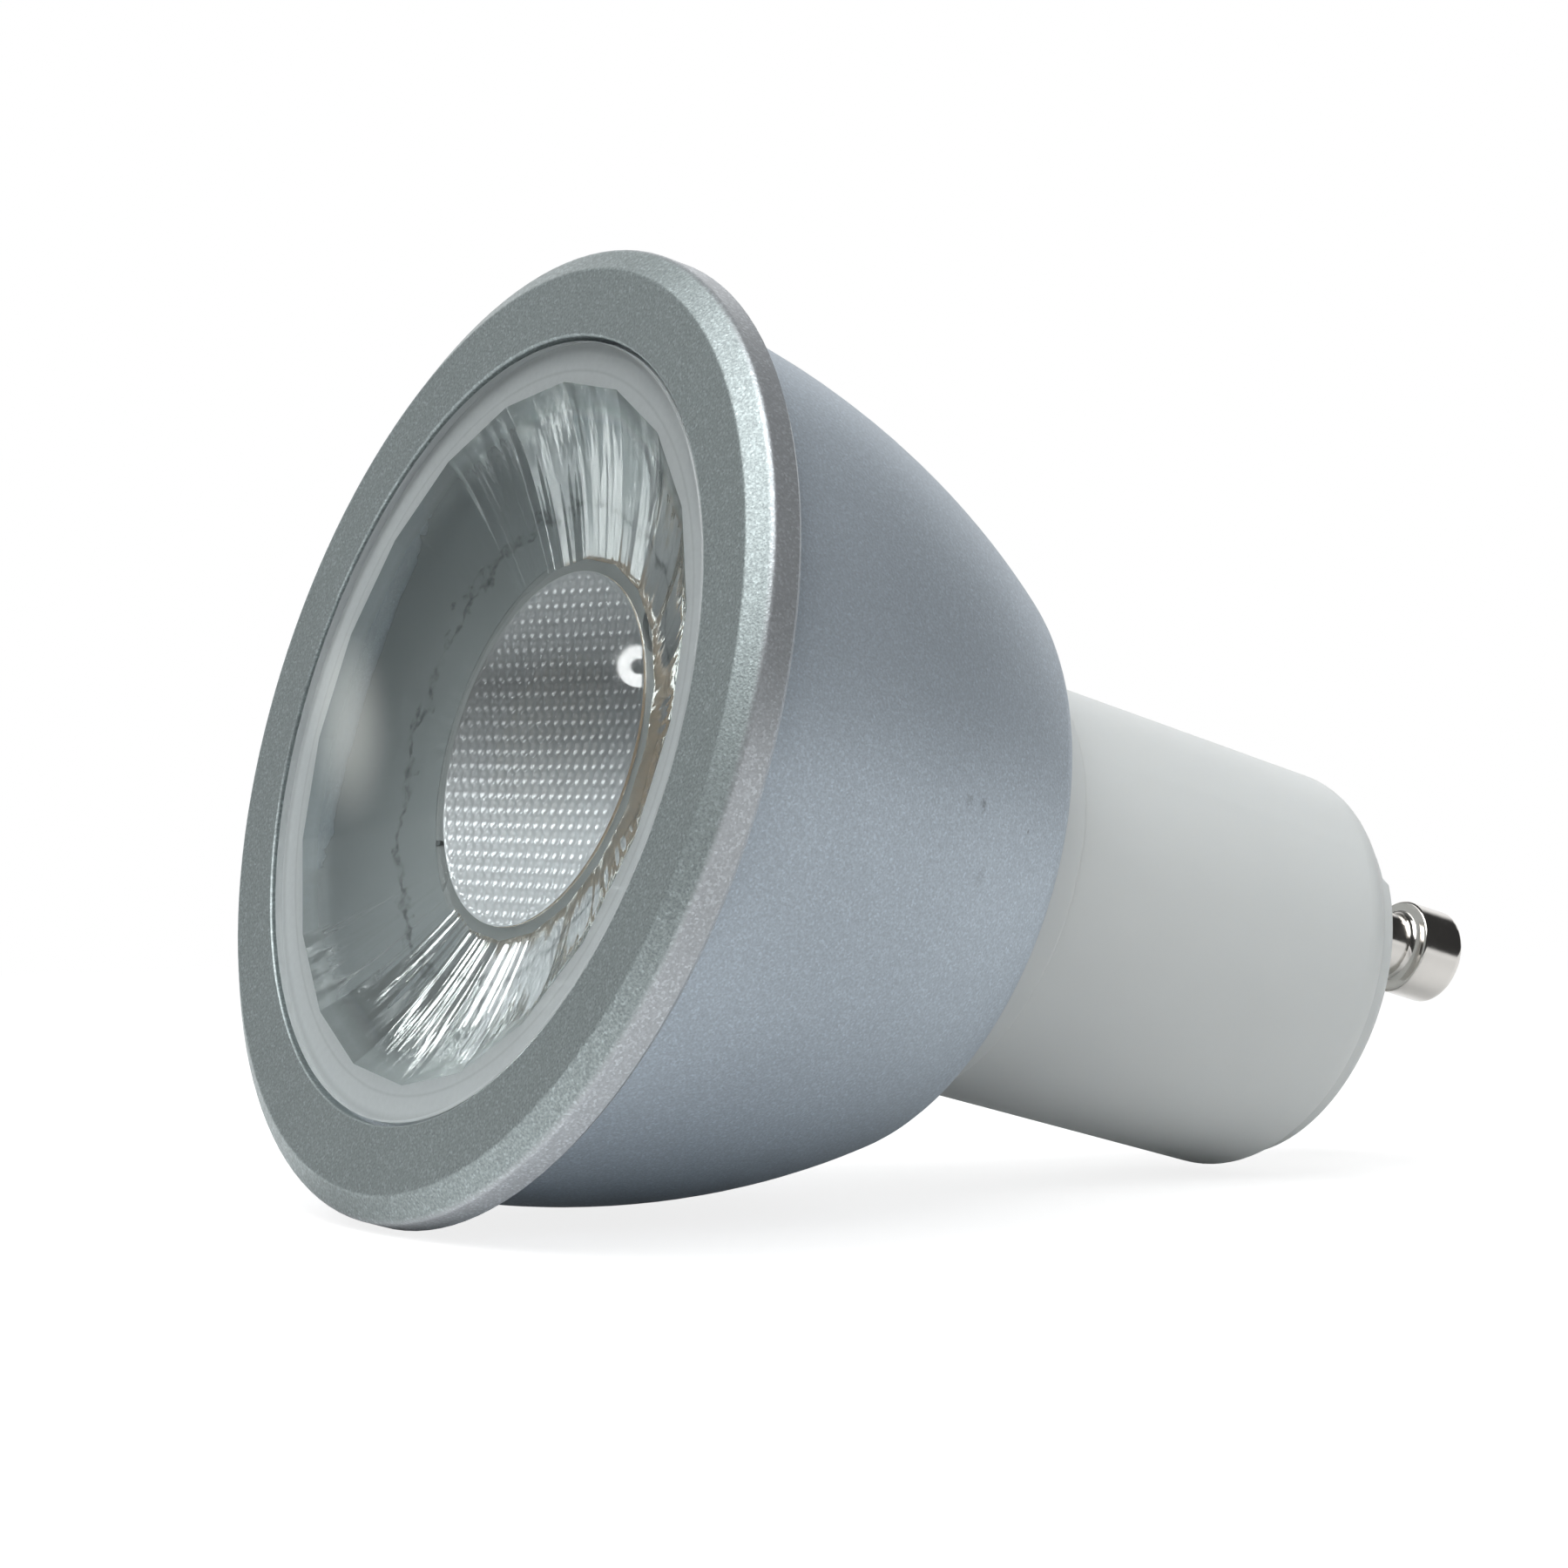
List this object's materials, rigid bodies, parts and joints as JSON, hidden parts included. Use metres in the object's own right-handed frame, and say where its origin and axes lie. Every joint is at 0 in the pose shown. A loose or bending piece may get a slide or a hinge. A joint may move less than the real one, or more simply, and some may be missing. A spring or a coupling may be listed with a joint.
{
  "type": "spotlight bulb",
  "caption": "Reflector-shaped spotlight bulb: an aluminium bowl with a front ring and a facetted clear lens, and a white moulded base with bayonet contact pins.",
  "frame": {"origin": "centre of the front ring's flat face, on the floor plane", "axes": "+Z along the optical axis from the front face towards the contact pins; the two pins lie on the X axis"},
  "size_m": [0.05, 0.05, 0.059],
  "materials": {
    "ring_aluminium": "bead blasted and clear anodised, fine sparkling grain",
    "bowl_aluminium": "bead blasted and clear anodised, satin",
    "clear_acrylic": "clear moulded acrylic, polished, with a facetted wall",
    "retainer_plastic": "moulded plastic, satin",
    "board_aluminium": "white solder resist on aluminium, satin",
    "phosphor_silicone": "yellow phosphor in silicone, satin",
    "white_silicone": "white silicone, satin",
    "pad_silicone": "filled silicone, matte",
    "plate_aluminium": "turned, bare",
    "white_polyester": "moulded polyester, satin white",
    "nickel_plate": "nickel plated, polished turned pin",
    "screw_steel": "zinc plated",
    "circuit_laminate": "green solder resist",
    "red_epoxy": "dipped epoxy, glossy",
    "green_ceramic": "lacquered ceramic",
    "capacitor_can": "sleeved aluminium can",
    "ferrite": "sintered ferrite, matte",
    "copper_enamel": "enamelled copper wire",
    "black_epoxy": "moulded epoxy, satin black",
    "tinned_wire": "tinned wire"
  },
  "bodies": {
    "root": {"front_bezel": "ring_aluminium", "heat_sink": "bowl_aluminium", "lens_optic": "clear_acrylic", "led_holder": "retainer_plastic", "led_board": "board_aluminium", "led_emitter": "phosphor_silicone", "led_dam": "white_silicone", "thermal_pad": "pad_silicone", "heat_plate": "plate_aluminium", "base_shell": "white_polyester", "contact_pin_left": "nickel_plate", "contact_pin_right": "nickel_plate", "holder_screws": "screw_steel", "base_screws": "screw_steel", "driver_board": "circuit_laminate", "film_capacitor": "red_epoxy", "fuse_resistor": "green_ceramic", "electrolytic_capacitor": "capacitor_can", "inductor_core": "ferrite", "inductor_winding": "copper_enamel", "driver_chip": "black_epoxy", "bridge_rectifier": "black_epoxy", "led_lead_left": "tinned_wire", "led_lead_right": "tinned_wire", "input_lead_left": "tinned_wire", "input_lead_right": "tinned_wire"}
  },
  "joints": []
}
